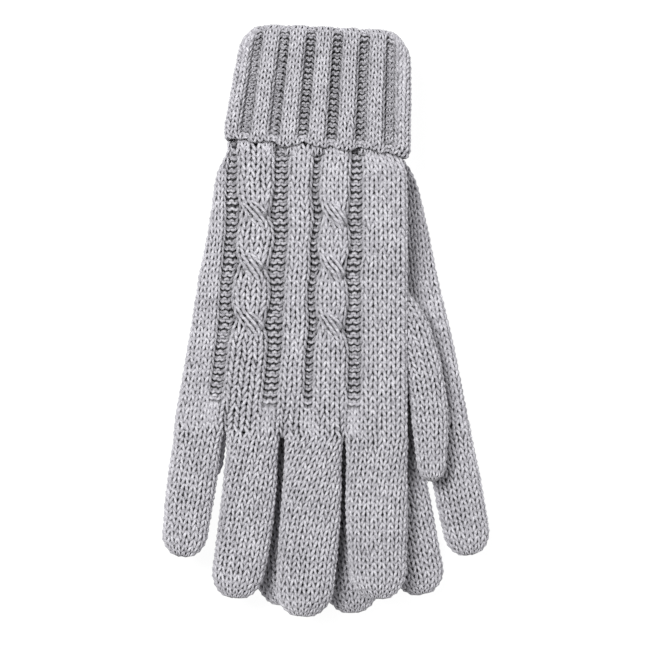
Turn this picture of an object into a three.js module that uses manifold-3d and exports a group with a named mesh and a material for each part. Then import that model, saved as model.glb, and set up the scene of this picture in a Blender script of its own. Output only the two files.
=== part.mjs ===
// A pair of cable-knit gloves laid flat, one on top of the other, backs of the hands up.
// Millimetres, +Z up, +X to the right, +Y from the fingertips towards the cuffs.
// Every knitted piece is a plain hollow tube of its true outer size: a flat-laid outline
// with rounded edges, and a cavity one fabric thickness inside it.
import * as THREE from 'three';
import { mergeVertices } from 'three/addons/utils/BufferGeometryUtils.js';
import Module from 'manifold-3d';

const wasm = await Module();
wasm.setup();

// Driving sizes
const fabric = 2.9;             // thickness of the knitted fabric of the hand and the digits
const ribFabric = 2.4;          // thickness of the ribbed fabric at the wrist
const glove = 13;               // thickness of a hand or a finger laid flat
const cuff = 15;                // thickness of the turned-up cuff, both layers
const gap = 0.3;                // clearance between pieces that touch
const seam = 0.5;               // clearance between a digit and the hand that it is knitted to
const overrun = 12;             // how far a raw shape runs past the line that it is cut at
const edgeSteps = 2;            // steps round a rolled edge
const tipSteps = 8;             // steps round a fingertip
const cuffCorners = {           // slanted corners at the folded top of a cuff: [across, down]
  left: [8.5, 6],
  right: [6.5, 10],
};
const wristRise = THREE.MathUtils.degToRad(1.4);   // slope of the upper hand, up to its cuff

const yarn = {
  hand: new THREE.MeshStandardMaterial({ color: 0xbcbbc1, roughness: 0.95, metalness: 0 }),
  rib: new THREE.MeshStandardMaterial({ color: 0xb5b4ba, roughness: 0.95, metalness: 0 }),
};

// The right glove lies on top and the left one under it. Edge rows are [y, left x, right x].
const gloves = [
  {
    side: 'left',
    thumbSide: -1,
    floor: 0,
    rise: 0,
    hand: [
      [71, -43.2, 34.0],
      [57, -42.6, 39.6],
      [38, -41.0, 44.0],
      [19, -40.6, 47.6],
      [-10, -40.2, 54.5],
      [-42, -36.6, 60.6],
    ],
    cuff: [
      [72.0, -42.8, 34.4],
      [125, -35.9, 33.6],
    ],
    digits: {
      little: { base: [50.9, -43.4], tip: [61.68, -100.2], width: [19.6, 20.4] },
      ring: { base: [28.4, -46.2], tip: [40.6, -117.2], width: [22.2, 23.4] },
      middle: { base: [4.3, -47.6], tip: [11.5, -125], width: [24.0, 24.6] },
      index: { base: [-21.6, -47.2], tip: [-17.6, -121.6], width: [26.0, 25.0] },
    },
    thumbRoot: [-41.0, 13],
  },
  {
    side: 'right',
    thumbSide: 1,
    floor: glove + gap,
    rise: wristRise,
    hand: [
      [71, -44.6, 33.4],
      [57, -47.6, 34.2],
      [38, -50.2, 34.3],
      [19, -54.2, 34.3],
      [-5, -57.8, 34.3],
      [-42, -64.2, 34.3],
    ],
    cuff: [
      [72.6, -43.6, 35.2],
      [125, -36.4, 35.2],
    ],
    digits: {
      little: { base: [-53.6, -43.2], tip: [-61.2, -99.6], width: [20.4, 20.0] },
      ring: { base: [-31.0, -46.0], tip: [-38.4, -117.2], width: [21.6, 23.0] },
      middle: { base: [-5.4, -47.2], tip: [-10.0, -125], width: [24.0, 25.4] },
      index: { base: [21.2, -48.0], tip: [21.6, -117.6], width: [25.8, 25.2] },
    },
    thumbRoot: [35.0, 13],
  },
];

// Thumb, measured from its root on the hand's side edge: outwards, then towards the fingertips
const thumb = {
  mouth: 26,                    // length of the opening in the hand's side
  edge: 4.5,                    // radius of its rolled edge, less than at the fingers
  innerEdge: 2,                 // and of its cavity's edge
  back: [[0, 0], [6.6, 10], [10.6, 21.5], [15.4, 44]],
  tip: { centre: [8.7, 73], radius: 8.5 },
};

// Turns a closed geometry into a manifold solid that can be joined and cut
function solid(geometry) {
  geometry.deleteAttribute('normal');
  geometry.deleteAttribute('uv');
  const merged = mergeVertices(geometry, 1e-4);
  return new wasm.Manifold(new wasm.Mesh({
    numProp: 3,
    vertProperties: merged.attributes.position.array,
    triVerts: new Uint32Array(merged.index.array),
  }));
}

function meshOf(body, name, material) {
  const { vertProperties, triVerts } = body.getMesh();
  const geometry = new THREE.BufferGeometry();
  geometry.setAttribute('position', new THREE.BufferAttribute(vertProperties, 3));
  geometry.setIndex(new THREE.BufferAttribute(triVerts, 1));
  geometry.computeVertexNormals();
  const mesh = new THREE.Mesh(geometry, material);
  mesh.name = name;
  return mesh;
}

// A flat-laid shape with this outline, its edge rolled round by the radius edge
function pillow(outline, low, high, edge = (high - low) / 2 - 0.4) {
  const geometry = new THREE.ExtrudeGeometry(outline, {
    depth: high - low - 2 * edge,
    bevelEnabled: true,
    bevelThickness: edge,
    bevelSize: edge,
    bevelOffset: -edge,
    bevelSegments: edgeSteps,
    curveSegments: tipSteps,
  });
  geometry.translate(0, 0, low + edge);
  return solid(geometry);
}

// An upright block with this outline, used to cut a raw shape off at its ends
function block(points, low, high) {
  const geometry = new THREE.ExtrudeGeometry(shapeOf(points), {
    depth: high - low,
    bevelEnabled: false,
  });
  geometry.translate(0, 0, low);
  return solid(geometry);
}

function shapeOf(points) {
  return new THREE.Shape(points.map(([x, y]) => new THREE.Vector2(x, y)));
}

// Edge rows as an outline that runs straight on past both ends by extra, narrowed by inset
function tubeOutline(rows, inset, extra) {
  const beyond = (end, next) => {
    const run = extra / Math.abs(end[0] - next[0]);
    return end.map((value, i) => value + (value - next[i]) * run);
  };
  const last = rows.length - 1;
  const long = [beyond(rows[0], rows[1]), ...rows.slice(1, -1), beyond(rows[last], rows[last - 1])];
  const left = long.map(([y, x]) => [x + inset, y]);
  const right = long.map(([y, , x]) => [x - inset, y]).reverse();
  return shapeOf([...left, ...right]);
}

// A digit's own directions: along it, and across it towards +X
function digitLines({ base, tip, width }) {
  const start = new THREE.Vector2(...base);
  const along = new THREE.Vector2(...tip).sub(start);
  const length = along.length();
  along.normalize();
  const across = new THREE.Vector2(-along.y, along.x);
  const at = (down, side) => [
    start.x + along.x * down + across.x * side,
    start.y + along.y * down + across.y * side,
  ];
  return { length, at, root: width[0] / 2, end: width[1] / 2 };
}

// Outline of a digit narrowed by inset, running past its base by extra, with a round tip
function digitOutline(digit, inset, extra) {
  const { length, at, root, end } = digitLines(digit);
  const radius = end - inset;
  const centre = length - end;
  const points = [at(-extra, root - inset)];
  for (let i = 0; i <= tipSteps; i += 1) {
    const turn = (Math.PI * i) / tipSteps;
    points.push(at(centre + radius * Math.sin(turn), radius * Math.cos(turn)));
  }
  points.push(at(-extra, inset - root));
  return shapeOf(points);
}

// The thumb's outline, narrowed by inset; its straight root side runs past the hand's edge by extra
function thumbOutline({ thumbRoot, thumbSide }, inset, extra) {
  const at = (out, down) => [thumbRoot[0] + thumbSide * out, thumbRoot[1] - down];
  const { centre, radius } = thumb.tip;
  const [root, ...back] = thumb.back;
  const points = [at(root[0] - extra, root[1] + inset * 1.5), at(root[0] + inset * 0.3, root[1] + inset * 1.5)];
  for (const [out, down] of back) {
    points.push(at(out - inset, down + inset * 0.3));
  }
  for (let i = 0; i <= tipSteps; i += 1) {
    const turn = (Math.PI * i) / tipSteps;
    const reach = radius - inset;
    points.push(at(centre[0] + reach * Math.cos(turn), centre[1] + reach * Math.sin(turn)));
  }
  points.push(at(inset, thumb.mouth - inset));
  points.push(at(-extra, thumb.mouth - inset));
  return shapeOf(points);
}

function digitPiece(side, name, digit, floor) {
  const { length, at } = digitLines(digit);
  const outer = pillow(digitOutline(digit, 0, overrun), floor, floor + glove);
  const inner = pillow(digitOutline(digit, fabric, 2 * overrun), floor + fabric, floor + glove - fabric);
  const wide = 2 * glove;
  const keep = [at(seam, wide), at(length + 1, wide), at(length + 1, -wide), at(seam, -wide)];
  const cut = block(keep, floor - 1, floor + glove + 1);
  return meshOf(outer.subtract(inner).intersect(cut), `${side}_${name}_finger`, yarn.hand);
}

function thumbPiece(model) {
  const { side, thumbSide, thumbRoot, floor } = model;
  const [low, high] = [floor, floor + glove];
  const outer = pillow(thumbOutline(model, 0, overrun), low, high, thumb.edge);
  const cavity = thumbOutline(model, fabric, 2 * overrun);
  const inner = pillow(cavity, low + fabric, high - fabric, thumb.innerEdge);
  const far = thumbRoot[0] + thumbSide * 4 * glove;
  const [top, bottom] = [thumbRoot[1] + 1, thumbRoot[1] - 100];
  const keep = [[thumbRoot[0], top], [far, top], [far, bottom], [thumbRoot[0], bottom]];
  const cut = block(keep, floor - 1, floor + glove + 1);
  return meshOf(outer.subtract(inner).intersect(cut), `${side}_thumb`, yarn.hand);
}

// The hand is a tube, open at the wrist and along the finger bases, with a hole for the thumb
function handPiece(model) {
  const { side, hand, digits, thumbSide, thumbRoot, floor, rise } = model;
  const outer = pillow(tubeOutline(hand, 0, overrun), floor, floor + glove);
  const inner = pillow(tubeOutline(hand, fabric, 2 * overrun), floor + fabric, floor + glove - fabric);
  const wrist = hand[0][0];
  const far = 100;
  const order = Object.values(digits).sort((a, b) => b.base[0] - a.base[0]);
  const knuckles = order.flatMap((digit) => {
    const { at, root } = digitLines(digit);
    return [at(0, root), at(0, -root)];
  });
  const rightmost = knuckles[0];
  const leftmost = knuckles[knuckles.length - 1];
  const keep = [[-far, wrist], [-far, leftmost[1]], ...knuckles.reverse(), [far, rightmost[1]], [far, wrist]];
  const cut = block(keep, floor - 1, floor + glove + 1);
  const hole = [
    [thumbRoot[0] - thumbSide * (fabric + 4), thumbRoot[1] - 1.5 * fabric],
    [thumbRoot[0] + thumbSide * 4, thumbRoot[1] - 1.5 * fabric],
    [thumbRoot[0] + thumbSide * 4, thumbRoot[1] - thumb.mouth + fabric],
    [thumbRoot[0] - thumbSide * (fabric + 4), thumbRoot[1] - thumb.mouth + fabric],
  ];
  const holeCut = block(hole, floor + fabric, floor + glove - fabric);
  const mesh = meshOf(outer.subtract(inner).intersect(cut).subtract(holeCut), `${side}_hand`, yarn.hand);
  return tilted(mesh, leftmost[1], floor + glove / 2, rise);
}

// Lifts a piece of the upper glove towards its cuff, about a line across the knuckles
function tilted(mesh, y, z, angle) {
  mesh.geometry.translate(0, -y, -z);
  mesh.rotation.x = angle;
  mesh.position.set(0, y, z);
  return mesh;
}

// A straight tube of ribbing, open at both ends
function ribTube(name, rows, inset, low, high) {
  const outer = pillow(tubeOutline(rows, inset, overrun), low, high);
  const inner = pillow(tubeOutline(rows, inset + ribFabric, 2 * overrun), low + ribFabric, high - ribFabric);
  const far = 100;
  const from = rows[0][0];
  const [to, left, right] = rows[rows.length - 1];
  const keep = [
    [-far, from],
    [far, from],
    [far, to - cuffCorners.right[1]],
    [right, to - cuffCorners.right[1]],
    [right - cuffCorners.right[0], to],
    [left + cuffCorners.left[0], to],
    [left, to - cuffCorners.left[1]],
    [-far, to - cuffCorners.left[1]],
  ];
  const cut = block(keep, low - 1, high + 1);
  return meshOf(outer.subtract(inner).intersect(cut), name, yarn.rib);
}

function buildGlove(model) {
  const group = new THREE.Group();
  const { side, digits, floor } = model;
  const cuffFloor = floor === 0 ? 0 : cuff + gap;
  const layer = ribFabric + gap;
  group.add(handPiece(model));
  group.add(ribTube(`${side}_wrist_rib`, model.cuff, layer, cuffFloor + layer, cuffFloor + cuff - layer));
  group.add(ribTube(`${side}_turn_up_cuff`, model.cuff, 0, cuffFloor, cuffFloor + cuff));
  for (const [name, digit] of Object.entries(digits)) {
    group.add(digitPiece(side, name, digit, floor));
  }
  group.add(thumbPiece(model));
  return group;
}

const pair = new THREE.Group();
pair.name = 'knitted_gloves';
for (const model of gloves) {
  pair.add(buildGlove(model));
}

export default pair;
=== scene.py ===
"""A pair of cable-knit gloves laid flat, one on the other, knitted stitch by stitch.

Every knitted piece is a tube of fabric: a grid of points on its middle surface, with columns
round the tube and rows along it. The yarn of each course runs round the tube as real loops,
each reaching into the course before it, and a dark sheet of painted shade just behind the loops
closes the gaps between them. The yarn itself is painted darker, as painted shade, at the bottom
of channels, where it runs behind other loops and in gathered fingertips. Sizes are in
millimetres here, and meshes are made in metres.
"""
import math

import bpy
import numpy as np
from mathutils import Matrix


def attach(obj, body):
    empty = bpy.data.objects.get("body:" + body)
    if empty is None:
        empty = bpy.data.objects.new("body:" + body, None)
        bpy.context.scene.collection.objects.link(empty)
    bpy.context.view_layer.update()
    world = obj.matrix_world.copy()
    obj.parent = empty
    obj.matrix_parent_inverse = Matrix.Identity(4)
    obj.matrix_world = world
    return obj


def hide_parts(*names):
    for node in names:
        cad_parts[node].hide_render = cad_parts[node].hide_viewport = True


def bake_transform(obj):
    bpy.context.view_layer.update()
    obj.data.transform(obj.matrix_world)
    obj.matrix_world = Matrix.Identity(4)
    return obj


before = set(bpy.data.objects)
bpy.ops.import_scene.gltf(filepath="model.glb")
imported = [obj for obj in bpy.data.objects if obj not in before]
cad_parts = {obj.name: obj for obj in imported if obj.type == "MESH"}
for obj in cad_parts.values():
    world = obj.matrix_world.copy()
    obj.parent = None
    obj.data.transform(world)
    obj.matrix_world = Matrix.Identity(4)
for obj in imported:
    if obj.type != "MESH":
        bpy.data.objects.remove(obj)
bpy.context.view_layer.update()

MM = 0.001

# --- Sizes shared with the CAD model ---
GLOVE = 13.0  # thickness of a hand or a finger laid flat
CUFF = 15.0  # thickness of the turned-up cuff, both layers
GAP = 0.3  # clearance between pieces that touch
FABRIC = 2.9  # thickness of the hand's fabric
RIB_FABRIC = 2.4  # thickness of the ribbing
WRIST = 72.0  # where the hand meets the cuff's free edge
FOLD = 125.0  # the cuff's folded edge
RISE = math.radians(1.4)  # slope of the upper hand, up to its cuff

# Rows of a hand and a cuff are Y, left edge and right edge. A digit is its base, its tip, and its
# widths at both. The outer side is the little finger's, and floors are heights of the underside.
GLOVES = {
    "left": {
        "outer_side": 1,
        "floor": 0.0,
        "cuff_floor": 0.0,
        "rise": 0.0,
        "channel_inset": 9.0,
        "hand": [(72, -43.2, 34.0), (57, -42.6, 39.6), (38, -41.0, 44.0), (19, -40.6, 47.6),
                 (-10, -40.2, 54.5), (-42, -36.6, 60.6)],
        "cuff": [(72, -42.8, 34.4), (125, -35.9, 33.6)],
        "free_edge": (72.0, 72.0),
        "digits": {
            "little": ((50.9, -43.4), (61.68, -100.2), (19.6, 20.4)),
            "ring": ((28.4, -46.2), (40.6, -117.2), (22.2, 23.4)),
            "middle": ((4.3, -47.6), (11.5, -125.0), (24.0, 24.6)),
            "index": ((-21.6, -47.2), (-17.6, -121.6), (26.0, 25.0)),
        },
        "thumb_root": (-41.0, 13.0),
    },
    "right": {
        "outer_side": -1,
        "floor": GLOVE + GAP,
        "cuff_floor": CUFF + GAP,
        "rise": RISE,
        "channel_inset": 0.0,
        "hand": [(72, -44.6, 33.4), (57, -47.6, 34.2), (38, -50.2, 34.3), (19, -54.2, 34.3),
                 (-5, -57.8, 34.3), (-42, -64.2, 34.3)],
        "cuff": [(72.6, -43.6, 35.2), (125, -36.4, 35.2)],
        "free_edge": (76.4, 69.4),
        "digits": {
            "little": ((-53.6, -43.2), (-61.2, -99.6), (20.4, 20.0)),
            "ring": ((-31.0, -46.0), (-38.4, -117.2), (21.6, 23.0)),
            "middle": ((-5.4, -47.2), (-10.0, -125.0), (24.0, 25.4)),
            "index": ((21.2, -48.0), (21.6, -117.6), (25.8, 25.2)),
        },
        "thumb_root": (35.0, 13.0),
    },
}

# --- The hand's tube ---
KNUCKLE_Y = -42.0  # the line that the upper hand slopes up from
HAND_START = WRIST + 3.0  # Y where the hand starts, under the cuff
HAND_END = -45.5  # Y of the hand's last course, before it follows the finger bases
HAND_SQUARE = (2.0, 7 / 45)  # squareness of its section: least, and more for each mm of half width
TUCK = (62.0, 11.0)  # Y where the hand starts to narrow into the cuff, and over how far
TUCK_SIZE = 2.4  # how far its edges draw in there, and half its thickness in the cuff
KNUCKLE_RUN = 18.0  # length over which the hand parts into finger bases
KNUCKLE_SLACK = 0.6  # how far the hand's finger bases stand out past the fingers' own
SECTION_POINTS = 960  # points round a section before they are spread over the wales

# --- Fingers and thumbs ---
DIGIT_WALES = {"little": 13, "ring": 14, "middle": 15, "index": 16}
DIGIT_TWIST = {"little": 1.0, "ring": 5.0, "middle": 12.0, "index": 4.0}  # spiral at the base
TWIST_FADE = 2.2  # how fast the spiral fades towards the fingertip
GIRTH = 4.6  # the way round a finger, in half widths
DIGIT_BOW = {"little": 0.0, "ring": 1.0, "middle": 0.6, "index": -0.3}  # towards the thumb
BELLY = 0.7  # how far a finger's sides swell at half its length
BASE_SQUARE = 2.8  # squareness of a finger's section at its base
DIGIT_SQUARE = 2.05  # and further along it
SQUARE_ROWS = 22  # rows over which it changes
BASE_FLARE = 0.8  # how far a finger's sides spread to its neighbours at its base
BASE_GAP = 0.5  # from a finger's base line to its first course
TIP_SHARE = 0.55  # where a fingertip starts to round off, in widths from its end
FINGER_KNOTS = 7  # points that a finger's edges are drawn through
DIGIT_COLUMNS = 96
DIGIT_ROWS = 60  # rows up to where the tip rounds off
TIP_ROWS = 26
TIP_TURN = 86.0  # degrees that a tip rounds in by, short of closing
TIP_FLATNESS = 0.8  # how much slower a tip loses thickness than width
DIMPLE = (1.2, 72.0, 14.0)  # depth of the gathered end's dimple, and the degrees it starts and takes
FINGERTIP = {"rise": 0.6, "reach": 1.12}  # lift of the end, and length in half widths
THUMB_TIP = {"rise": 3.0, "reach": 1.4}

# Edges of the thumb, from its root on the hand's side: outwards, then towards the fingertips.
# Its inner edge starts inside the hand, so that it comes out from under the hand's edge.
THUMB_OUTER = [(-0.6, -1), (6.9, 9.8), (11.4, 22), (15.2, 38), (16.7, 54), (16.0, 72)]
THUMB_INNER = [(-13.5, 9), (-8.6, 18), (-5.0, 29), (-1.2, 42), (0.6, 56), (2.6, 72)]
THUMB_WALES = 10
THUMB_DROP = 1.6  # how far the thumb lies under the middle of the hand

# --- Gauge and yarn ---
COURSE = 2.75  # height of a stitch
WALE = 3.0  # width of a stitch on the hand
RIB_COURSE = 2.7
YARN = 0.70  # radius of the yarn
LOOP_REACH = 0.92  # how far a loop reaches up and down from its course, in courses
PURL_REACH = 0.80  # the same for a purl stitch, as a share of a plain one's
LOOP_LEAN = 0.25  # how far a loop's legs lean outwards, in wales
WEAVE = 0.80  # how far the yarn weaves in and out of the fabric
YARN_ROOM = 3.1  # width of a wale that leaves room for the whole yarn
THINNEST = 0.5  # the yarn's least thickness in narrower wales, as a share
SUNK_YARN = 0.10  # how much thinner the yarn is at the bottom of a channel
# How uneven the stitches are: reach, place along and across, lift, and thickness of the yarn
UNEVEN = {"reach": 0.05, "along": 0.06, "across": 0.045, "lift": 0.07, "yarn": 0.04}
FACE_CHANGE = 0.22  # share of a wale over which plain knitting changes to purl
FREE_LOOP = 0.4  # reach of the loops at a free edge, as a share
SIDES = 5  # sides of the yarn's tube
STEPS = 12  # steps along the yarn for each stitch
BEFORE, AFTER = -9, 999  # courses before the first and after the last of any piece
SHADE_SHEET_DEPTH = 0.9  # depth of the dark sheet of painted shade under the middle of the fabric
PURL_SINK = 2.1  # how far a purl wale lies under plain knitting
PURL_WIDTH = 0.70  # width of a purl wale, in plain wales
SHUT_WIDTH = 0.3  # and at a free edge, where the channels are shut
RIDGE = 0.80  # how far a rib or a cable stands above plain knitting
RIDGE_EDGE = 0.35  # share of that at the ridge's edges
RELIEF_COURSES = (2, 3)  # courses over which channels and ridges start and end
FOLD_FLAT = (0.85, 2.0)  # how much flatter ribs are at a fold, and over how many courses
SMALL_DIP = 0.25  # steps between wales smaller than this are left straight
PAINTED_CHANNEL_SHADE = 0.12  # painted shade: how much darker the yarn is painted at the bottom of a channel
PAINTED_RIB_SHADE = 0.24  # the same painted shade in ribbing
PAINTED_BEHIND_SHADE = 0.68  # painted shade where the yarn runs behind other loops
PAINTED_PURL_SHADE = 0.20  # painted shade where it does so in a channel, added to that
PAINTED_GATHER_SHADE = 0.55  # painted shade in the gathered end of a fingertip
GATHER_COURSES = (1.8, 2)  # where that painted shade starts, in courses from the end, and over how many
DIGIT_YARN = 0.92  # thickness of the yarn in fingers and thumbs, as a share of the rest

# --- The back of the hand, in wales from the channel beside the little finger's edge ---
HAND_WALES = 62
HAND_PURLS = [0, 1, 6, 7, 11, 16, 17]
HAND_RIDGES = [(2, 4), (8, 3), (12, 4)]  # first wale and count
CABLES = [(2, (46.0, 23.5, 0.4)), (12, (44.4, 22.6, -0.9))]  # first wale, crossings' Y
STRAND = 2  # wales in each strand of a cable
CABLE_REACH = 2.1  # courses from a crossing's middle to its end
CABLE_SWELL = 0.13  # how much wider a cable is between its crossings, and narrower there
SWELL_COURSES = 4  # courses from a crossing to the cable's full width
FRONT_WIDER = 0.22  # how much the front strand spreads at a crossing
FRONT_RISE = 2.3  # how high it lifts
FRONT_LIFTED = 1.5  # the lift that makes its loops lean less
FRONT_ROUND = 1.7  # and how far it drops to its sides
BACK_COURSES = 2.6  # courses over which the strand behind gives way
BACK_SHIFT = 0.2  # how far that strand moves aside, in wales
BACK_SINK = 1.2  # how far it sinks
BACK_DRAG = (0.1, 0.7)  # how far its stitches are pulled along, least and more inwards
SHADE_SHEET_DROP = (1.5, 1.6)  # how far the dark sheet of painted shade sinks behind a crossing, and its reach
SCALLOP = 0.6  # how far a cuff's shut channels draw back from its free edge, in courses
CHANNEL_END = -36.0  # Y where the channels end and the plain knuckles begin
# Distances from the little finger's edge to channel centres, at the wrist and the knuckles
ANCHOR_WALES = [1.0, 7.0, 11.5, 17.0]
ANCHORS_WRIST = [4.5, 24.8, 41.5, 56.5]
ANCHORS_KNUCKLES = [16.1, 38.6, 57.4, 75.6]
ANCHORS_BOW = [9.0, 9.0, -2.0, 0.0]  # how far the channels bow out on the way
THUMB_EDGE_WALE = 24  # the wale that runs along the thumb's side of the hand

# --- The cuff ---
# Where its free edge arches up off the hand: middle, half width and height
EDGE_ARCHES = [(-7.5, 4.0, 2.0), (19.0, 3.0, 1.6)]
EDGE_WAVES = [(0.5, 2.1, 1.0), (0.4, 7.1, 0.0)]  # its small waves: height, length and phase
EDGE_CURL = (0.9, 4.0)  # how far the free edge curls in, and over what length
CUFF_SQUARE = 6.5  # squareness of the cuff's section
CUFF_ROWS = 44  # rows along a layer of the cuff
FOLD_ROWS = 10  # rows round its fold
FOLD_SLACK = 1.0  # space between the layers at the fold
FOLD_COURSE = (FOLD - WRIST + 3) / RIB_COURSE  # the course at the middle of the fold
CUFF_OPENS = 0.3  # the course where a cuff's channels start to open
FOLD_LEFT = (6.0, 9.0)  # how far the fold drops at its left corner, and over what width
FOLD_RIGHT = (9.0, 10.0, 1.3)  # the same at its right corner, and how sharply
FOLD_SLOPE = (2.2, 15.0)  # how far it slopes down to the right, and from where
RIB_REPEATS = 14
RIB_WALES = 5  # three plain wales and two purl wales

# --- Colours and light ---
PLIES = 3.0
PLY_TURN = 0.42  # turns of the yarn in a millimetre, times the number of its plies
FLECKS = (0.9, 3.0, 0.65)  # noise of the two greys: scale, detail and roughness
FIBRES = (4.5, 2.0, 0.6)  # the same of the fibres
CLOUDS = (70.0, 3.0, 0.6)  # and of the slow change over the fabric
MARL_STOPS = (0.47, 0.65, 0.83)
MARL_COLOURS = ((0.33, 0.322, 0.352), (0.51, 0.50, 0.535), (0.72, 0.712, 0.75))
# Painted shade: near-black colours of the sheet behind the loops, standing for the shade in the gaps
PAINTED_GAP_SHADE_COLOURS = ((0.03, 0.03, 0.034), (0.06, 0.058, 0.066))
FLOOR = -1.20  # the ribs stand a little below the flat underside of the CAD
FLOOR_GREY = 0.12
FLOOR_GLOW = 0.94
FLOOR_SIZE = 6.0  # metres, as are the places and sizes below
LIGHTS = {  # place, width and power
    "key": ((-0.42, 0.32, 0.97), 0.42, 12.2),
    "fill": ((0.80, 0.02, 0.60), 0.40, 3.2),
}
SKY = 0.25
CAMERA_LENS = 130.0  # millimetres, as is the sensor
CAMERA_SENSOR = 36.0
CAMERA_AIM = (-0.0007, -0.0010, 0.020)
CAMERA_VIEW = 0.2740  # width of the view where the camera aims


def smooth(x):
    """Smoothstep of x, held to 0..1."""
    x = np.clip(x, 0.0, 1.0)
    return x * x * (3 - 2 * x)


def edge_at(rows, y):
    """Left and right edge of a list of (y, left, right) rows, at one y."""
    ys, lefts, rights = zip(*sorted(rows))
    return np.interp(y, ys, lefts), np.interp(y, ys, rights)


def oval(half_width, half_height, squareness, count, start=0.0):
    """A rounded section as x and z, evenly spaced from its left side over the top, or from a
    share of the way round."""
    turn = math.pi - np.linspace(0, 2 * math.pi, 4 * count + 1)
    power = 2 / squareness
    x = half_width * np.sign(np.cos(turn)) * np.abs(np.cos(turn)) ** power
    z = half_height * np.sign(np.sin(turn)) * np.abs(np.sin(turn)) ** power
    length = np.concatenate([[0], np.cumsum(np.hypot(np.diff(x), np.diff(z)))])
    even = np.mod(np.arange(count) / count + start, 1.0) * length[-1]
    return np.interp(even, length, x), np.interp(even, length, z)


class Surface:
    """The middle of a tube of fabric, as a grid of rows along it and closed columns round it."""

    def __init__(self, points, courses):
        self.points = points
        self.courses = courses
        around = np.roll(points, -1, axis=1) - np.roll(points, 1, axis=1)
        along = np.gradient(points, axis=0)
        normals = np.cross(around, along)
        normals /= np.linalg.norm(normals, axis=2, keepdims=True) + 1e-9
        outwards = points - points.mean(axis=1, keepdims=True)
        middle = len(points) // 2
        if np.sum(normals[middle] * outwards[middle]) < 0:
            normals = -normals
        self.normals = normals
        self.spacing = np.linalg.norm(around, axis=2) / 2

    def sample(self, grid, lateral, course):
        """A grid's value at lateral (0..1 round the tube) and a course number."""
        rows, columns = grid.shape[:2]
        c = np.mod(lateral, 1.0) * columns
        r = np.clip(course / self.courses * (rows - 1), -2.0, rows + 0.5)
        c0 = np.floor(c).astype(int) % columns
        r0 = np.clip(np.floor(r).astype(int), 0, rows - 2)
        cf = c - np.floor(c)
        rf = r - r0
        if grid.ndim == 3:
            cf, rf = cf[..., None], rf[..., None]
        c1 = (c0 + 1) % columns
        near = grid[r0, c0] * (1 - cf) + grid[r0, c1] * cf
        far = grid[r0 + 1, c0] * (1 - cf) + grid[r0 + 1, c1] * cf
        return near * (1 - rf) + far * rf

    def at(self, lateral, course, depth):
        normal = self.sample(self.normals, lateral, course)
        normal /= np.linalg.norm(normal, axis=-1, keepdims=True) + 1e-9
        return self.sample(self.points, lateral, course) + normal * depth[..., None], normal


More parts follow.
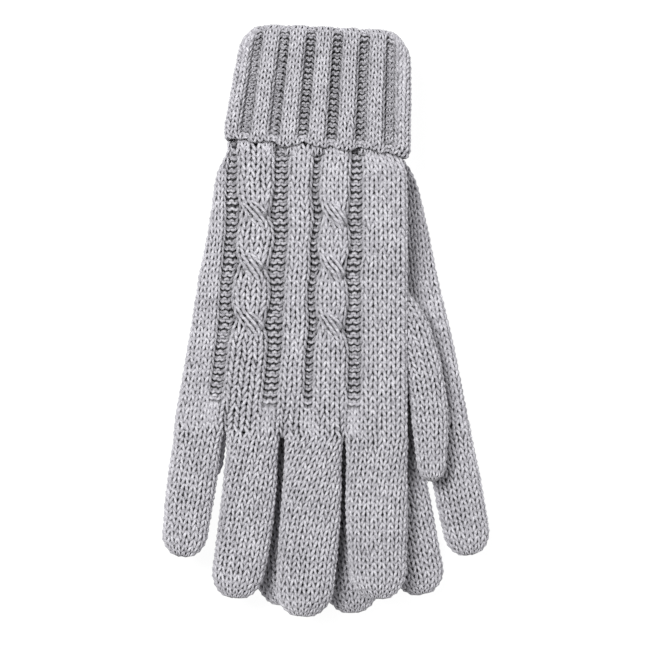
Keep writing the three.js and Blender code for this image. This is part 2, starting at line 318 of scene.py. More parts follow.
class Pattern:
    """Which stitches a tube of fabric is knitted in, and how its ribs and channels stand."""

    def __init__(self, wales, courses, purls=(), ridges=(), channel=(BEFORE, AFTER), cables=(),
                 fold=AFTER, gathered=False, shade=PAINTED_CHANNEL_SHADE):
        self.wales = wales
        self.courses = courses
        self.purl = np.zeros(wales, bool)
        self.purl[list(purls)] = True
        self.channel = channel              # courses where the channels start and end
        self.cables = cables                # (first wale, [crossing courses])
        self.fold = fold                    # course where the fabric is folded over, and flatter
        self.free_start = channel[0] >= 0   # whether it starts at a free edge, not in other fabric
        self.gathered = gathered            # whether it ends in a gathered fingertip
        self.shade = shade                  # how much darker its channels are painted, as painted shade
        self.height = np.where(self.purl, -PURL_SINK, 0.0)
        for first, count in ridges:
            across = (np.arange(count) + 0.5) / count
            rounded = RIDGE_EDGE + (1 - RIDGE_EDGE) * np.sin(math.pi * across)
            self.height[first:first + count] = RIDGE * rounded
        open_width = np.where(self.purl, PURL_WIDTH, 1.0)
        shut_width = np.where(self.purl, SHUT_WIDTH, 1.0)
        self.edges = np.concatenate([[0], np.cumsum(open_width)])
        self.shut_edges = np.concatenate([[0], np.cumsum(shut_width)])

    def is_purl(self, wale, course):
        return self.purl[wale % self.wales] & (course < self.channel[1])

    def centre(self, wale, height):
        """Middle of a wale as a share of the way round, its lift above the fabric, and how far
        its stitches are pulled along the tube, in courses."""
        turns = np.floor_divide(wale, self.wales)
        w = wale - turns * self.wales
        middle = (self.edges[w] + self.edges[w + 1]) / 2
        first, last = self.channel
        opening, closing = RELIEF_COURSES
        flat, flat_courses = FOLD_FLAT
        relief = smooth((last - height) / closing) * smooth((height - first) / opening)
        relief = relief * (1 - flat * np.exp(-((height - self.fold) / flat_courses) ** 2))
        lift = self.height[w] * relief
        share = (middle + turns * self.edges[-1] + self.swell(w, height)) / self.edges[-1]
        pull = np.zeros_like(lift)
        if self.free_start:
            shut = (self.shut_edges[w] + self.shut_edges[w + 1]) / 2
            shut = (shut + turns * self.shut_edges[-1]) / self.shut_edges[-1]
            opened = smooth((height - first + 1) / 3)
            share = shut * (1 - opened) + share * opened
            pull = np.where(self.purl[w], SCALLOP * (1 - opened), 0.0)
        return share, lift, pull

    def swell(self, wale, height):
        """How far a wale lies to one side because the cables swell between their crossings."""
        moved = np.zeros_like(height)
        for first, crossings in self.cables:
            off = wale + 0.5 - first - STRAND
            nearest = np.min([np.abs(height - crossing) for crossing in crossings], axis=0)
            wider = CABLE_SWELL * (2 * smooth(nearest / SWELL_COURSES) - 1)
            held = np.clip((STRAND + 2 - np.abs(off)) / 2, 0, 1)
            moved = moved + np.clip(off, -STRAND, STRAND) * wider * held
        return moved

    def place(self, u, height):
        """Share of the way round, lift and pull, anywhere between the middles of the wales."""
        low = np.floor(u - 0.5).astype(int)
        part = u - 0.5 - low
        near = self.centre(low, height)
        far = self.centre(low + 1, height)
        share, lift, pull = (a * (1 - part) + b * part for a, b in zip(near, far))
        dip = 2 * np.abs(far[1] - near[1]) * part * (1 - part)
        return share, lift - np.where(dip > SMALL_DIP, dip, 0), pull

    def crossed(self, u, wale, course, height):
        """What the cables add to a stitch's share of the way round, lift and pull."""
        shift, rise, drag = np.zeros_like(u), np.zeros_like(u), np.zeros_like(u)
        for first, crossings in self.cables:
            for crossing in crossings:
                more = cross(u - first, wale - first, course < crossing, height - crossing)
                shift, rise, drag = shift + more[0], rise + more[1], drag + more[2]
        return shift / self.edges[-1], rise, drag

    def drop(self, u, height):
        """How far the dark sheet of painted shade lies lower behind the crossings of the cables."""
        drop = np.zeros_like(u)
        depth, reach = SHADE_SHEET_DROP
        for first, crossings in self.cables:
            inside = (u >= first) & (u <= first + 2 * STRAND)
            for crossing in crossings:
                close = smooth(reach - np.abs(height - crossing) / CABLE_REACH)
                drop = drop + np.where(inside, depth * close, 0)
        return drop


def cross(u, wale, before, height):
    """Sideways shift in wales, lift, and pull along the tube where a cable's strands cross.

    The strand that starts at the low wales lies in front: it slants across, and its courses turn
    with it. The strand behind keeps straight on until the front one covers it, and comes out
    straight on its far side."""
    inside = (wale >= 0) & (wale < 2 * STRAND) & (np.abs(height) < CABLE_REACH + 1)
    lower = wale < STRAND
    front = lower == before
    step = np.clip(height / (2 * CABLE_REACH) + 0.5, 0, 1)
    way = smooth(step)
    over = np.sin(math.pi * way)
    travel = np.where(before, way, 1 - way)
    sideways = np.where(lower, 1, -1)
    off = u - np.where(lower, 0.5, 1.5) * STRAND
    slant = np.arctan(STRAND * WALE / COURSE * 6 * step * (1 - step) / (2 * CABLE_REACH))
    wide = 1 + FRONT_WIDER * over
    edge = np.where(lower, STRAND - u, u - STRAND)
    close = smooth(1 - np.abs(height) / BACK_COURSES)
    shift = np.where(front, sideways * travel * STRAND + off * (wide * np.cos(slant) - 1),
                     sideways * BACK_SHIFT * close)
    rise = np.where(front, over * (FRONT_RISE - FRONT_ROUND * np.abs(off) ** 3),
                    -BACK_SINK * close ** 2)
    drag = np.where(front, -off * wide * np.sin(slant) * WALE / COURSE,
                    np.where(before, 1, -1) * (BACK_DRAG[0] + BACK_DRAG[1] * edge) * close)
    return np.where(inside, shift, 0), np.where(inside, rise, 0), np.where(inside, drag, 0)


def facing(pattern, wale, course, part):
    """1 where the yarn is knitted plain and -1 where it is purled, eased between the wales."""
    def face(side):
        return np.where(pattern.is_purl(wale + side, course), -1.0, 1.0)

    to_before = 0.5 * smooth((FACE_CHANGE - part) / FACE_CHANGE)
    to_after = 0.5 * smooth((part - 1 + FACE_CHANGE) / FACE_CHANGE)
    return face(0) * (1 - to_before - to_after) + face(-1) * to_before + face(1) * to_after


def knit(surface, pattern, seed):
    """Centre line of every course's yarn as courses x points x 3, with its normals, its radius and
    the painted shade that darkens it."""
    rng = np.random.default_rng(seed)
    along = np.arange(pattern.wales * STEPS) / STEPS
    wale = np.floor(along).astype(int)
    part = (along - wale)[None, :]
    course = np.arange(pattern.courses)[:, None] + 0 * wale[None, :]
    wale = wale[None, :] + 0 * course

    def uneven(size):
        """A random number for each stitch, eased from one stitch to the next."""
        values = rng.normal(0, size, (pattern.courses, pattern.wales))
        values = np.repeat(values, STEPS, axis=1)
        after = np.roll(values, -STEPS, axis=1)
        return values + (after - values) * smooth(part)

    purl = pattern.is_purl(wale, course)
    reach = LOOP_REACH * (1 + uneven(UNEVEN["reach"])) * np.where(purl, PURL_REACH, 1.0)
    face = facing(pattern, wale, course, part)
    swing = np.cos(2 * math.pi * part)
    if pattern.free_start:
        swing = np.where((course == 0) & (swing > 0), FREE_LOOP * swing, swing)
    v = course + 0.5 - reach * swing + uneven(UNEVEN["along"])
    u = wale + part + uneven(UNEVEN["across"])
    front = smooth(pattern.crossed(u, wale, course, v)[1] / FRONT_LIFTED)
    u = u + LOOP_LEAN * (1 - 0.5 * front) * np.sin(4 * math.pi * part)
    share, lift, pull = pattern.place(u, v)
    shift, rise, drag = pattern.crossed(u, wale, course, v)
    weave = -WEAVE * face * np.cos(4 * math.pi * part)
    lift_off = weave + lift + rise + uneven(UNEVEN["lift"])
    points, normals = surface.at(share + shift, v + pull + drag, lift_off)
    room = surface.sample(surface.spacing, share, v) * surface.points.shape[1] / pattern.wales
    sunk = smooth(-lift / PURL_SINK)
    radius = YARN * np.clip(room / YARN_ROOM, THINNEST, 1.0)
    radius = radius * (1 + uneven(UNEVEN["yarn"])) * (1 - SUNK_YARN * sunk)
    # Painted shade: depth is how much darker the yarn is painted at the bottom of a channel, where it
    # runs behind other loops, and in a gathered fingertip.
    behind = smooth(0.5 - 0.5 * weave / WEAVE)
    depth = 1 - (1 - pattern.shade * sunk) * (1 - (PAINTED_BEHIND_SHADE + PAINTED_PURL_SHADE * sunk) * behind)
    if pattern.gathered:
        gather = smooth((v - pattern.courses + GATHER_COURSES[0]) / GATHER_COURSES[1])
        depth = 1 - (1 - depth) * (1 - PAINTED_GATHER_SHADE * gather)
        radius = radius * DIGIT_YARN
    return points, normals, radius, depth


def sweep(points, normals, radius, depth):
    """Closed tubes round closed centre lines: vertices, quads as vertex numbers, two sets of
    texture coordinates for each quad's corners, and the painted shade of each vertex."""
    lines, count = points.shape[:2]
    tangent = np.roll(points, -1, axis=1) - np.roll(points, 1, axis=1)
    tangent /= np.linalg.norm(tangent, axis=2, keepdims=True) + 1e-9
    side = np.cross(tangent, normals)
    side /= np.linalg.norm(side, axis=2, keepdims=True) + 1e-9
    up = np.cross(side, tangent)
    turn = math.pi + np.arange(SIDES) * 2 * math.pi / SIDES
    ring = (up[:, :, None, :] * np.cos(turn)[None, None, :, None]
            + side[:, :, None, :] * np.sin(turn)[None, None, :, None])
    vertices = points[:, :, None, :] + ring * radius[:, :, None, None]
    index = np.arange(lines * count * SIDES).reshape(lines, count, SIDES)
    ahead = np.roll(index, -1, axis=1)
    quads = np.stack([index, ahead, np.roll(ahead, -1, axis=2), np.roll(index, -1, axis=2)], axis=-1)
    yarn_map, bake_map = yarn_places(points)
    return (vertices.reshape(-1, 3), quads.reshape(-1, 4), yarn_map.reshape(-1, 2),
            bake_map.reshape(-1, 2), np.repeat(depth.ravel(), SIDES))


def yarn_places(points):
    """Texture coordinates of the corners of the yarn's quads: one set in millimetres along the
    yarn and shares of the way round it, and one for baking, with each course in its own strips."""
    lines, count = points.shape[:2]
    steps = np.linalg.norm(np.roll(points, -1, axis=1) - points, axis=2)
    end = np.cumsum(steps.ravel()).reshape(lines, count)
    start = end - steps
    line, step, edge = np.meshgrid(np.arange(lines), np.arange(count), np.arange(SIDES), indexing="ij")
    near, far = start[line, step], end[line, step]
    low, high = edge / SIDES, (edge + 1) / SIDES
    yarn_map = np.stack([near, low, far, low, far, high, near, high], axis=-1)
    half = (2 * step >= count).astype(int)
    near = (2 * step / count) - half
    far = near + 2 / count
    row = 2 * line + half
    low, high = (row + 0.1 + 0.8 * low) / (2 * lines), (row + 0.1 + 0.8 * high) / (2 * lines)
    bake_map = np.stack([near, low, far, low, far, high, near, high], axis=-1)
    bake_map[..., 0::2] = bake_map[..., 0::2] * 0.98 + 0.005
    bake_map[..., 1::2] *= 0.9
    return yarn_map, bake_map


def shade_sheet_mesh(surface, pattern, closed_end):
    """The dark sheet of painted shade behind the loops, drawn together at the far end of a closed
    tube.
    """
    columns = 2 * pattern.wales
    rows = 2 * pattern.courses + 1
    u = np.arange(columns)[None, :] / 2 + np.zeros((rows, 1))
    height = np.linspace(0.25, pattern.courses - 0.25, rows)[:, None] + 0 * u
    share, lift, _ = pattern.place(u, height)
    grid, _ = surface.at(share, height, lift - pattern.drop(u, height) - SHADE_SHEET_DEPTH)
    index = np.arange(rows * columns).reshape(rows, columns)
    near, far = index[:-1], index[1:]
    quads = np.stack([near, np.roll(near, -1, 1), np.roll(far, -1, 1), far], axis=-1).reshape(-1, 4)
    line, column = np.meshgrid(np.arange(rows - 1) / rows, np.arange(columns) / columns, indexing="ij")
    across, down = 1 / columns, 1 / rows
    places = np.stack([column, line, column + across, line, column + across, line + down,
                       column, line + down], axis=-1).reshape(-1, 2)
    vertices = grid.reshape(-1, 3)
    fans = np.zeros((0, 3), int)
    if closed_end:
        tip = len(vertices)
        vertices = np.vstack([vertices, grid[-1].mean(axis=0)])
        last = index[-1]
        fans = np.stack([last, np.roll(last, -1), np.full(columns, tip)], axis=-1)
    fan_places = np.tile([[0.0, 0.97], [0.5, 0.97], [0.25, 1.0]], (len(fans), 1))
    places = np.vstack([places, fan_places]) if len(fans) else places
    places = places * [0.98, 0.08] + [0.005, 0.915]
    return vertices, quads, fans, places


def make_piece(name, node, material, surface, pattern, seed, closed_end=False):
    """One knitted piece: yarn and its dark sheet of painted shade in one mesh, standing for one CAD
    node.
    """
    yarn_points, yarn_quads, yarn_map, yarn_bake, depth = sweep(*knit(surface, pattern, seed))
    back_points, back_quads, back_fans, back_bake = shade_sheet_mesh(surface, pattern, closed_end)
    start = len(yarn_points)
    vertices = np.vstack([yarn_points, back_points]) * MM
    quads = np.vstack([yarn_quads, back_quads + start])
    mesh = mesh_of(name, vertices, quads, back_fans + start)
    materials = np.zeros(len(mesh.polygons), int)
    materials[len(yarn_quads):] = 1
    mesh.polygons.foreach_set("material_index", materials)
    for layer, places in (("yarn", np.vstack([yarn_map, back_bake * 100])),
                          ("OFBake", np.vstack([yarn_bake, back_bake]))):
        mesh.uv_layers.new(name=layer).data.foreach_set("uv", places.ravel())
    # Painted shade of each yarn vertex, which darkens the yarn's colour; the sheet's vertices get full
    # shade, which its own material doesn't read.
    painted_shade = mesh.attributes.new("painted_shade", "FLOAT", "POINT")
    painted_shade.data.foreach_set("value", np.concatenate([depth, np.ones(len(back_points))]))
    for one in material:
        mesh.materials.append(one)
    piece = bpy.data.objects.new(name, mesh)
    bpy.context.scene.collection.objects.link(piece)
    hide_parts(node)
    return piece


def mesh_of(name, vertices, quads, triangles):
    """A smooth-shaded mesh of quads and triangles."""
    loops = np.concatenate([quads.ravel(), triangles.ravel()])
    sizes = np.concatenate([np.full(len(quads), 4), np.full(len(triangles), 3)])
    mesh = bpy.data.meshes.new(name)
    mesh.vertices.add(len(vertices))
    mesh.vertices.foreach_set("co", vertices.ravel())
    mesh.loops.add(len(loops))
    mesh.loops.foreach_set("vertex_index", loops)
    mesh.polygons.add(len(sizes))
    mesh.polygons.foreach_set("loop_start", np.concatenate([[0], np.cumsum(sizes)[:-1]]))
    mesh.polygons.foreach_set("use_smooth", np.ones(len(sizes), bool))
    mesh.update(calc_edges=True)
    return mesh


def rail_rows(inner, outer, count):
    """Smooth edge lines through pairs of edge points along a digit, as evenly spaced points."""
    inner, outer = np.array(inner, float), np.array(outer, float)
    middle = (inner + outer) / 2
    length = np.concatenate([[0], np.cumsum(np.linalg.norm(np.diff(middle, axis=0), axis=1))])
    even = np.linspace(0, length[-1], count)

    def eased(values):
        columns = [hermite(even, length, column, np.gradient(column, length)) for column in values.T]
        return np.stack(columns, axis=1)

    return eased(inner), eased(outer)


def hermite(x, knots, values, slopes):
    """Smooth curve through values at knots."""
    i = np.clip(np.searchsorted(knots, x, side="right") - 1, 0, len(knots) - 2)
    span = knots[i + 1] - knots[i]
    t = (x - knots[i]) / span
    return (values[i] * (1 + 2 * t) * (1 - t) ** 2 + slopes[i] * span * t * (1 - t) ** 2
            + values[i + 1] * t * t * (3 - 2 * t) + slopes[i + 1] * span * t * t * (t - 1))


def evened(grid, length):
    """A grid with its rows spaced evenly along the given lengths."""
    even = np.linspace(0, length[-1], len(grid))
    flat = grid.reshape(len(grid), -1)
    return np.stack([np.interp(even, length, column) for column in flat.T], axis=1).reshape(grid.shape)


def digit_surface(inner, outer, middle_z, tip, thickness=GLOVE, twist=0.0):
    """A finger or thumb between two edge lines, ending in a rounded, gathered tip."""
    half = (thickness - FABRIC) / 2
    inner, outer = rail_rows(inner, outer, DIGIT_ROWS)
    radius = np.linalg.norm(outer[-1] - inner[-1]) / 2 - FABRIC / 2
    forward = (inner[-1] + outer[-1]) / 2 - (inner[-2] + outer[-2]) / 2
    forward /= np.linalg.norm(forward)
    rows = []
    length = [0.0]
    for i in range(DIGIT_ROWS):
        centre = (inner[i] + outer[i]) / 2
        across = outer[i] - inner[i]
        width = np.linalg.norm(across) / 2 - FABRIC / 2
        square = BASE_SQUARE + (DIGIT_SQUARE - BASE_SQUARE) * smooth(i / SQUARE_ROWS)
        spiral = twist * (1 - i / DIGIT_ROWS) ** TWIST_FADE / (GIRTH * width)
        x, z = oval(width, half, square, DIGIT_COLUMNS, spiral)
        across = across / np.linalg.norm(across)
        rows.append(placed(centre, across, x, middle_z + z))
        if i:
            length.append(length[-1] + np.linalg.norm(centre - (inner[i - 1] + outer[i - 1]) / 2))
    last = (inner[-1] + outer[-1]) / 2
    depth, dimple_start, dimple_run = DIMPLE
    for i in range(1, TIP_ROWS + 1):
        turn = math.radians(TIP_TURN) * i / TIP_ROWS
        dimple = depth * smooth((math.degrees(turn) - dimple_start) / dimple_run)
        rise = tip["rise"] * smooth(i / TIP_ROWS) ** 2
        centre = last + forward * (radius * tip["reach"] * math.sin(turn) - dimple)
        shrink = math.cos(turn)
        x, z = oval(radius * shrink, half * shrink ** TIP_FLATNESS, DIGIT_SQUARE, DIGIT_COLUMNS)
        rows.append(placed(centre, across, x, middle_z + z + rise))
        length.append(length[-1] + radius * math.radians(TIP_TURN) / TIP_ROWS)
    grid = evened(np.array(rows), np.array(length))
    return Surface(grid, round(length[-1] / COURSE))


def placed(centre, across, x, z):
    """Points of a section whose x runs along a level direction from its centre."""
    return np.stack([centre[0] + across[0] * x, centre[1] + across[1] * x, z], axis=1)


def finger_edges(digit, bow):
    """The two edge lines of a finger, from the hand's last course to where its tip rounds off."""
    base, tip, (root, end) = (np.array(value, float) for value in digit)
    along = (tip - base) / np.linalg.norm(tip - base)
    across = np.array([-along[1], along[0]])
    start = base + along * BASE_GAP
    stop = tip - along * end * TIP_SHARE
    low, high = [], []
    for share in np.linspace(0, 1, FINGER_KNOTS):
        plump = math.sin(math.pi * share)
        flare = BASE_FLARE * max(0, 1 - (FINGER_KNOTS - 1) * share)
        centre = start + (stop - start) * share + across * bow * plump
        half = (root + (end - root) * share) / 2 + BELLY * plump + flare
        low.append(centre - across * half)
        high.append(centre + across * half)
    return low, high


def knuckle_height(glove, x):
    """Half height of the row of finger bases across the hand, none between two fingers."""
    height = np.zeros_like(x)
    for base, _, (width, _) in glove["digits"].values():
        off = np.abs(x - base[0]) / (width / 2 - FABRIC / 2 + KNUCKLE_SLACK + BASE_FLARE)
        height = np.maximum(height, np.clip(1 - off ** BASE_SQUARE, 0, 1) ** (1 / BASE_SQUARE))
    return height * (GLOVE - FABRIC) / 2


def hand_surface(glove):
    """The hand's tube, narrowed into the cuff at the wrist and scalloped at the knuckles."""
    digits = sorted(glove["digits"].values(), key=lambda digit: digit[0][0])
    knots = [digit[0][0] for digit in digits]
    base_y = [digit[0][1] - KNUCKLE_SLACK for digit in digits]
    courses = round((HAND_START - HAND_END) / COURSE)
    pattern = hand_pattern(courses)
    rows = []
    for i in range(2 * courses + 1):
        share = i / (2 * courses)
        y = HAND_START + (HAND_END - HAND_START) * share
        left, right = edge_at(glove["hand"], y)
        centre = (left + right) / 2
        x, z, middle_z = hand_section(glove, y, centre, (right - left) / 2)
        places = column_places(glove, pattern, share, centre, left, right, x, z)
        px = np.interp(places, np.arange(SECTION_POINTS + 1), np.append(x, x[0]))
        pz = np.interp(places, np.arange(SECTION_POINTS + 1), np.append(z, z[0]))
        edge_y = np.interp(px + centre, knots, base_y)
        py = y + (edge_y - HAND_END) * share ** 3
        rows.append(np.stack([px + centre, py, middle_z + pz], axis=1))
    return Surface(np.array(rows), courses), pattern


def hand_section(glove, y, centre, half_width):
    """X and z round the hand at one y, and the height of its middle."""
    tuck = smooth((y - TUCK[0]) / TUCK[1])
    middle_z = glove["floor"] + GLOVE / 2 + math.tan(glove["rise"]) * (y - KNUCKLE_Y)
    middle_z += (glove["cuff_floor"] + CUFF / 2 - middle_z) * tuck
    half_x = half_width - FABRIC / 2 - TUCK_SIZE * tuck
    half_z = (GLOVE - FABRIC) / 2 * (1 - tuck) + TUCK_SIZE * tuck
    x, z = oval(half_x, half_z, HAND_SQUARE[0] + HAND_SQUARE[1] * half_x, SECTION_POINTS)
    near = smooth((HAND_END + KNUCKLE_RUN - y) / KNUCKLE_RUN)
    knuckles = np.sign(z) * np.minimum(np.abs(z), knuckle_height(glove, x + centre))
    return x, z * (1 - near) + knuckles * near, middle_z


def column_places(glove, pattern, share, centre, left, right, x, z):
    """Where each column of the hand's grid lies among the points of a section round it, so that
    the channels and cables come at their places on the back of the hand."""
    top = np.flatnonzero(z > 0)
    top = top[np.argsort(x[top])]
    known = np.interp(share_along(glove, share, left, right) - centre, x[top], top)
    total = pattern.edges[-1]
    weights = np.interp(ANCHOR_WALES, np.arange(HAND_WALES + 1), pattern.edges)
    thumb_edge = SECTION_POINTS / 2 if glove["outer_side"] < 0 else 0.0
    turn = -glove["outer_side"] * SECTION_POINTS
    marks = np.concatenate([known, [thumb_edge, known[0] + turn]])
    weights = np.concatenate([weights, [pattern.edges[THUMB_EDGE_WALE], weights[0] + total]])
    columns = 2 * HAND_WALES
    want = weights[0] + np.mod(np.arange(columns) / columns * total - weights[0], total)
    return np.mod(np.interp(want, weights, marks), SECTION_POINTS)


def share_along(glove, share, left, right):
    """X of the channels at a share of the way from the wrist to the knuckles."""
    distance = np.array(ANCHORS_WRIST) * (1 - share) + np.array(ANCHORS_KNUCKLES) * share
    distance = distance + np.array(ANCHORS_BOW) * share * (1 - share) + glove["channel_inset"]
    return right - distance if glove["outer_side"] > 0 else left + distance


def hand_pattern(courses):
    """Cables and purl channels down the back of the hand, and plain knitting elsewhere."""
    def course_of(y):
        return (HAND_START - y) / COURSE

    crossings = [(first, [course_of(y) for y in ys]) for first, ys in CABLES]
    return Pattern(HAND_WALES, courses, HAND_PURLS, HAND_RIDGES,
                   (BEFORE, round(course_of(CHANNEL_END))), crossings)


def rib_pattern(courses, first_open, fold=AFTER):
    """Ribbing whose channels are shut up to one course, at a free edge."""
    starts = [RIB_WALES * repeat for repeat in range(RIB_REPEATS)]
    purls = [start + k for start in starts for k in (0, 4)]
    ridges = [(start + 1, 3) for start in starts]
    return Pattern(RIB_REPEATS * RIB_WALES, courses, purls, ridges, (first_open, AFTER), fold=fold,
                   shade=PAINTED_RIB_SHADE)


def fold_line(x, left, right):
    """Y of the cuff's folded edge: nearly level, with rounded corners."""
    left_drop, left_width = FOLD_LEFT
    right_drop, right_width, sharpness = FOLD_RIGHT
    fall, margin = FOLD_SLOPE
    drop = (left_drop * smooth((left + left_width - x) / left_width)
            + right_drop * smooth((x - right + right_width) / right_width) ** sharpness)
    slope = fall * smooth((x - left - margin) / (right - left - margin))
    return FOLD - drop - slope


def cuff_surface(glove, outer_layer):
    """The turned-up layer with the fold at its end, or the wrist ribbing under it."""
    rib = RIB_FABRIC / 2
    bend = (RIB_FABRIC + GAP + FOLD_SLACK) / 2
    inset = rib if outer_layer else rib + 2 * bend
    half = CUFF / 2 - inset
    turned = FOLD_ROWS if outer_layer else 0
    middle_z = glove["cuff_floor"] + CUFF / 2
    curl, curl_length = EDGE_CURL
    rows, length = [], []
    for i in range(CUFF_ROWS + turned):
        share = min(i / (CUFF_ROWS - 1), 1.0)
        turn = math.pi * max(i - CUFF_ROWS + 1, 0) / max(turned, 1)
        y = WRIST + (FOLD - WRIST) * share
        left, right = edge_at(glove["cuff"], y)
        tuck = bend * (1 - math.cos(turn))
        if outer_layer:
            tuck = tuck + curl * smooth(1 - share * (FOLD - WRIST) / curl_length)
        x, z = oval((right - left) / 2 - inset - tuck, half - tuck, CUFF_SQUARE,
                    2 * RIB_REPEATS * RIB_WALES)
        px = x + (left + right) / 2
        start = free_edge(glove, px, left, right) if outer_layer else WRIST - 1
        stop = fold_line(px, left, right) - bend - rib
        py = start + (stop - start) * share + bend * math.sin(turn)
        rows.append(np.stack([px, py, middle_z + z], axis=1))
        length.append((FOLD - WRIST) * share + bend * turn)
    return Surface(evened(np.array(rows), np.array(length)), round(length[-1] / RIB_COURSE))


def free_edge(glove, x, left, right):
    """Y of the cuff's free edge, which waves a little and arches up off the hand."""
    start, end = glove["free_edge"]
    edge = start + (end - start) * (x - left) / (right - left)
    for height, wave, phase in EDGE_WAVES:
        edge = edge + height * np.sin(x / wave + phase)
    for middle, width, height in EDGE_ARCHES:
        edge = edge + height * np.exp(-((x - middle) / width) ** 2)
    return edge


# --- Materials ---

def add_node(tree, kind, links=None, **values):
    """A shader node with its own values set, and its inputs linked from other nodes."""
    made = tree.nodes.new(kind)
    for key, value in values.items():
        setattr(made, key, value)
    for key, source in (links or {}).items():
        if isinstance(source, (int, float, tuple)):
            made.inputs[key].default_value = source
        else:
            tree.links.new(source, made.inputs[key])
    return made.outputs


def colour_ramp(tree, factor, stops):
    """A colour ramp through pairs of position and colour."""
    stops = list(stops)
    ramp = tree.nodes.new("ShaderNodeValToRGB")
    while len(ramp.color_ramp.elements) < len(stops):
        ramp.color_ramp.elements.new(0.5)
    for element, (position, colour) in zip(ramp.color_ramp.elements, stops):
        element.position = position
        element.color = (*colour, 1)
    tree.links.new(factor, ramp.inputs["Fac"])
    return ramp.outputs["Color"]


def new_material(name, roughness, specular):
    """A matt material, its node tree and its shader."""
    material = bpy.data.materials.new(name)
    material.use_nodes = True
    shader = material.node_tree.nodes["Principled BSDF"]
    shader.inputs["Roughness"].default_value = roughness
    shader.inputs["Specular IOR Level"].default_value = specular
    return material, material.node_tree, shader


def noise(tree, place, size):
    """Noise at a place, from a scale, a detail and a roughness."""
    scale, detail, roughness = size
    inputs = {"Vector": place, "Scale": scale, "Detail": detail, "Roughness": roughness}
    return add_node(tree, "ShaderNodeTexNoise", inputs)["Fac"]


def multiply_add(tree, value, factor, added):
    inputs = {0: value, 1: factor, 2: added}
    return add_node(tree, "ShaderNodeMath", inputs, operation="MULTIPLY_ADD")[0]


def yarn_material(name):
    """Soft marl yarn: two greys of fibre spun together, in plies that turn round each other.
    The grooves between the plies are painted a little darker, as painted shade.
    """
    material, tree, shader = new_material(name, 0.95, 0.25)
    shader.inputs["Sheen Weight"].default_value = 0.25
    shader.inputs["Sheen Roughness"].default_value = 0.5
    on_yarn = add_node(tree, "ShaderNodeUVMap", uv_map="yarn")["UV"]
    parts = add_node(tree, "ShaderNodeSeparateXYZ", {0: on_yarn})
    along = add_node(tree, "ShaderNodeMath", {0: parts["X"], 1: PLY_TURN}, operation="MULTIPLY")[0]
    spiral = multiply_add(tree, parts["Y"], PLIES, along)
    wave = add_node(tree, "ShaderNodeMath", {0: spiral, 1: 1.0}, operation="PINGPONG")[0]
    stretched = add_node(tree, "ShaderNodeCombineXYZ", {0: parts["X"], 1: spiral, 2: 0.0})[0]
    in_space = add_node(tree, "ShaderNodeTexCoord")["Object"]
    # Painted shade: the ply wave darkens the grooves between the plies a little; the flecks and clouds
    # are the yarn's own marl.
    marl_and_groove_shade = multiply_add(tree, wave, 0.10, noise(tree, stretched, FLECKS))
    marl_and_groove_shade = multiply_add(tree, noise(tree, in_space, CLOUDS), 0.24, marl_and_groove_shade)
    colour = colour_ramp(tree, marl_and_groove_shade, zip(MARL_STOPS, MARL_COLOURS))
    # Painted shade: the colour is scaled down by each vertex's painted shade.
    painted_shade = add_node(tree, "ShaderNodeAttribute", attribute_name="painted_shade")["Fac"]
    lit = multiply_add(tree, painted_shade, -1.0, 1.0)
    colour = add_node(tree, "ShaderNodeVectorMath", {0: colour, "Scale": lit},
                      operation="SCALE")["Vector"]
    height = multiply_add(tree, noise(tree, stretched, FIBRES), 0.45, wave)
    bump = add_node(tree, "ShaderNodeBump", {"Height": height, "Strength": 0.8, "Distance": 0.00022})
    tree.links.new(colour, shader.inputs["Base Color"])
    tree.links.new(bump["Normal"], shader.inputs["Normal"])
    return material


def shade_sheet_material(name):
    """Painted shade: a near-black sheet that stands for the shaded backs of the loops, seen through
    the gaps between them.
    """
    material, tree, shader = new_material(name, 1.0, 0.1)
    place = add_node(tree, "ShaderNodeTexCoord")["Object"]
    mottle = add_node(tree, "ShaderNodeTexNoise", {"Vector": place, "Scale": 900.0})["Fac"]
    colour = colour_ramp(tree, mottle, zip((0.35, 0.65), PAINTED_GAP_SHADE_COLOURS))
    tree.links.new(colour, shader.inputs["Base Color"])
    return material


def floor_material():
    """White paper lit evenly from below as well, which leaves only a trace of shadow on it."""
    material, _, shader = new_material("floor_white", 1.0, 0.0)
    shader.inputs["Base Color"].default_value = (FLOOR_GREY, FLOOR_GREY, FLOOR_GREY, 1)
    shader.inputs["Emission Color"].default_value = (1, 1, 1, 1)
    shader.inputs["Emission Strength"].default_value = FLOOR_GLOW
    return material


# --- The gloves ---

def build_glove(side, glove, yarn, seed):
    add_hand(side, glove, yarn, seed)
    for number, name in enumerate(glove["digits"]):
        add_finger(side, glove, name, yarn, seed + 1 + number)
    add_thumb(side, glove, yarn, seed + 7)
    add_wrist_rib(side, glove, yarn, seed + 8)
    add_cuff(side, glove, yarn, seed + 9)


def add_hand(side, glove, yarn, seed):
    surface, pattern = hand_surface(glove)
    hand = make_piece(f"{side}_hand_knit", f"{side}_hand", yarn, surface, pattern, seed)
    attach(hand, f"{side}_hand")


def add_finger(side, glove, name, yarn, seed):
    """A finger between its two edge lines, ending in a rounded, gathered tip."""
    digit = glove["digits"][name]
    middle_z = glove["floor"] + GLOVE / 2
    inner, outer = finger_edges(digit, -glove["outer_side"] * DIGIT_BOW[name])
    surface = digit_surface(inner, outer, middle_z, FINGERTIP,
                            twist=-glove["outer_side"] * DIGIT_TWIST[name])
    pattern = Pattern(DIGIT_WALES[name], surface.courses, gathered=True)
    piece = make_piece(f"{side}_{name}_finger_knit", f"{side}_{name}_finger", yarn,
                       surface, pattern, seed, closed_end=True)
    base = np.array(digit[0])
    along = np.array(digit[1]) - base
    along /= np.linalg.norm(along)
    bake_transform(piece)


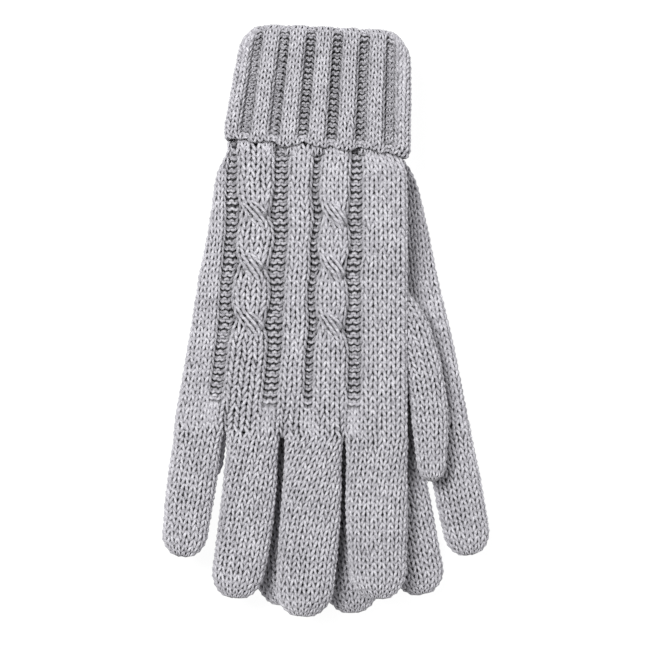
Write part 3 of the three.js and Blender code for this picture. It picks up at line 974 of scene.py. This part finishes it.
def add_thumb(side, glove, yarn, seed):
    """A thumb from its root on the hand's side, lying a little lower than the middle of the hand."""
    root = glove["thumb_root"]
    away = -glove["outer_side"]
    middle_z = glove["floor"] + GLOVE / 2
    inner = [(root[0] + away * out, root[1] - down) for out, down in THUMB_INNER]
    outer = [(root[0] + away * out, root[1] - down) for out, down in THUMB_OUTER]
    surface = digit_surface(inner, outer, middle_z - THUMB_DROP, THUMB_TIP, GLOVE - THUMB_DROP)
    pattern = Pattern(THUMB_WALES, surface.courses, gathered=True)
    thumb = make_piece(f"{side}_thumb_knit", f"{side}_thumb", yarn,
                       surface, pattern, seed, closed_end=True)
    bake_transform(thumb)


def add_wrist_rib(side, glove, yarn, seed):
    surface = cuff_surface(glove, outer_layer=False)
    rib = make_piece(f"{side}_wrist_rib_knit", f"{side}_wrist_rib", yarn,
                     surface, rib_pattern(surface.courses, BEFORE), seed)
    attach(rib, f"{side}_hand")


def add_cuff(side, glove, yarn, seed):
    surface = cuff_surface(glove, outer_layer=True)
    pattern = rib_pattern(surface.courses, CUFF_OPENS, FOLD_COURSE)
    cuff = make_piece(f"{side}_turn_up_cuff_knit", f"{side}_turn_up_cuff", yarn,
                      surface, pattern, seed)
    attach(cuff, f"{side}_cuff")


def add_floor():
    bpy.ops.mesh.primitive_plane_add(size=FLOOR_SIZE, location=(0, 0, FLOOR * MM))
    floor = bpy.context.active_object
    floor.name = "floor"
    floor.data.materials.append(floor_material())


def add_light(name, place, size, power):
    """A soft square light that faces the pair."""
    light = bpy.data.lights.new(name, "AREA")
    light.size = size
    light.energy = power
    lamp = bpy.data.objects.new(name, light)
    lamp.location = place
    direction = -lamp.location
    lamp.rotation_euler = direction.to_track_quat("-Z", "Y").to_euler()
    bpy.context.scene.collection.objects.link(lamp)


def add_camera():
    """A camera with a long lens, straight above the pair."""
    camera = bpy.data.cameras.new("camera")
    camera.lens = CAMERA_LENS
    camera.sensor_width = CAMERA_SENSOR
    x, y, z = CAMERA_AIM
    eye = bpy.data.objects.new("camera", camera)
    eye.location = (x, y, z + CAMERA_VIEW * CAMERA_LENS / CAMERA_SENSOR)
    bpy.context.scene.collection.objects.link(eye)
    bpy.context.scene.camera = eye


def set_world():
    scene = bpy.context.scene
    scene.world = bpy.data.worlds.new("studio")
    scene.world.use_nodes = True
    background = scene.world.node_tree.nodes["Background"]
    background.inputs["Color"].default_value = (1, 1, 1, 1)
    background.inputs["Strength"].default_value = SKY
    scene.view_settings.view_transform = "Standard"


add_camera()
set_world()
add_floor()
for name, values in LIGHTS.items():
    add_light(name, *values)
marl = yarn_material("marl_yarn")
shade = shade_sheet_material("painted_gap_shade")
for seed, (side, glove) in enumerate(GLOVES.items()):
    build_glove(side, glove, (marl, shade), 100 * (seed + 1))
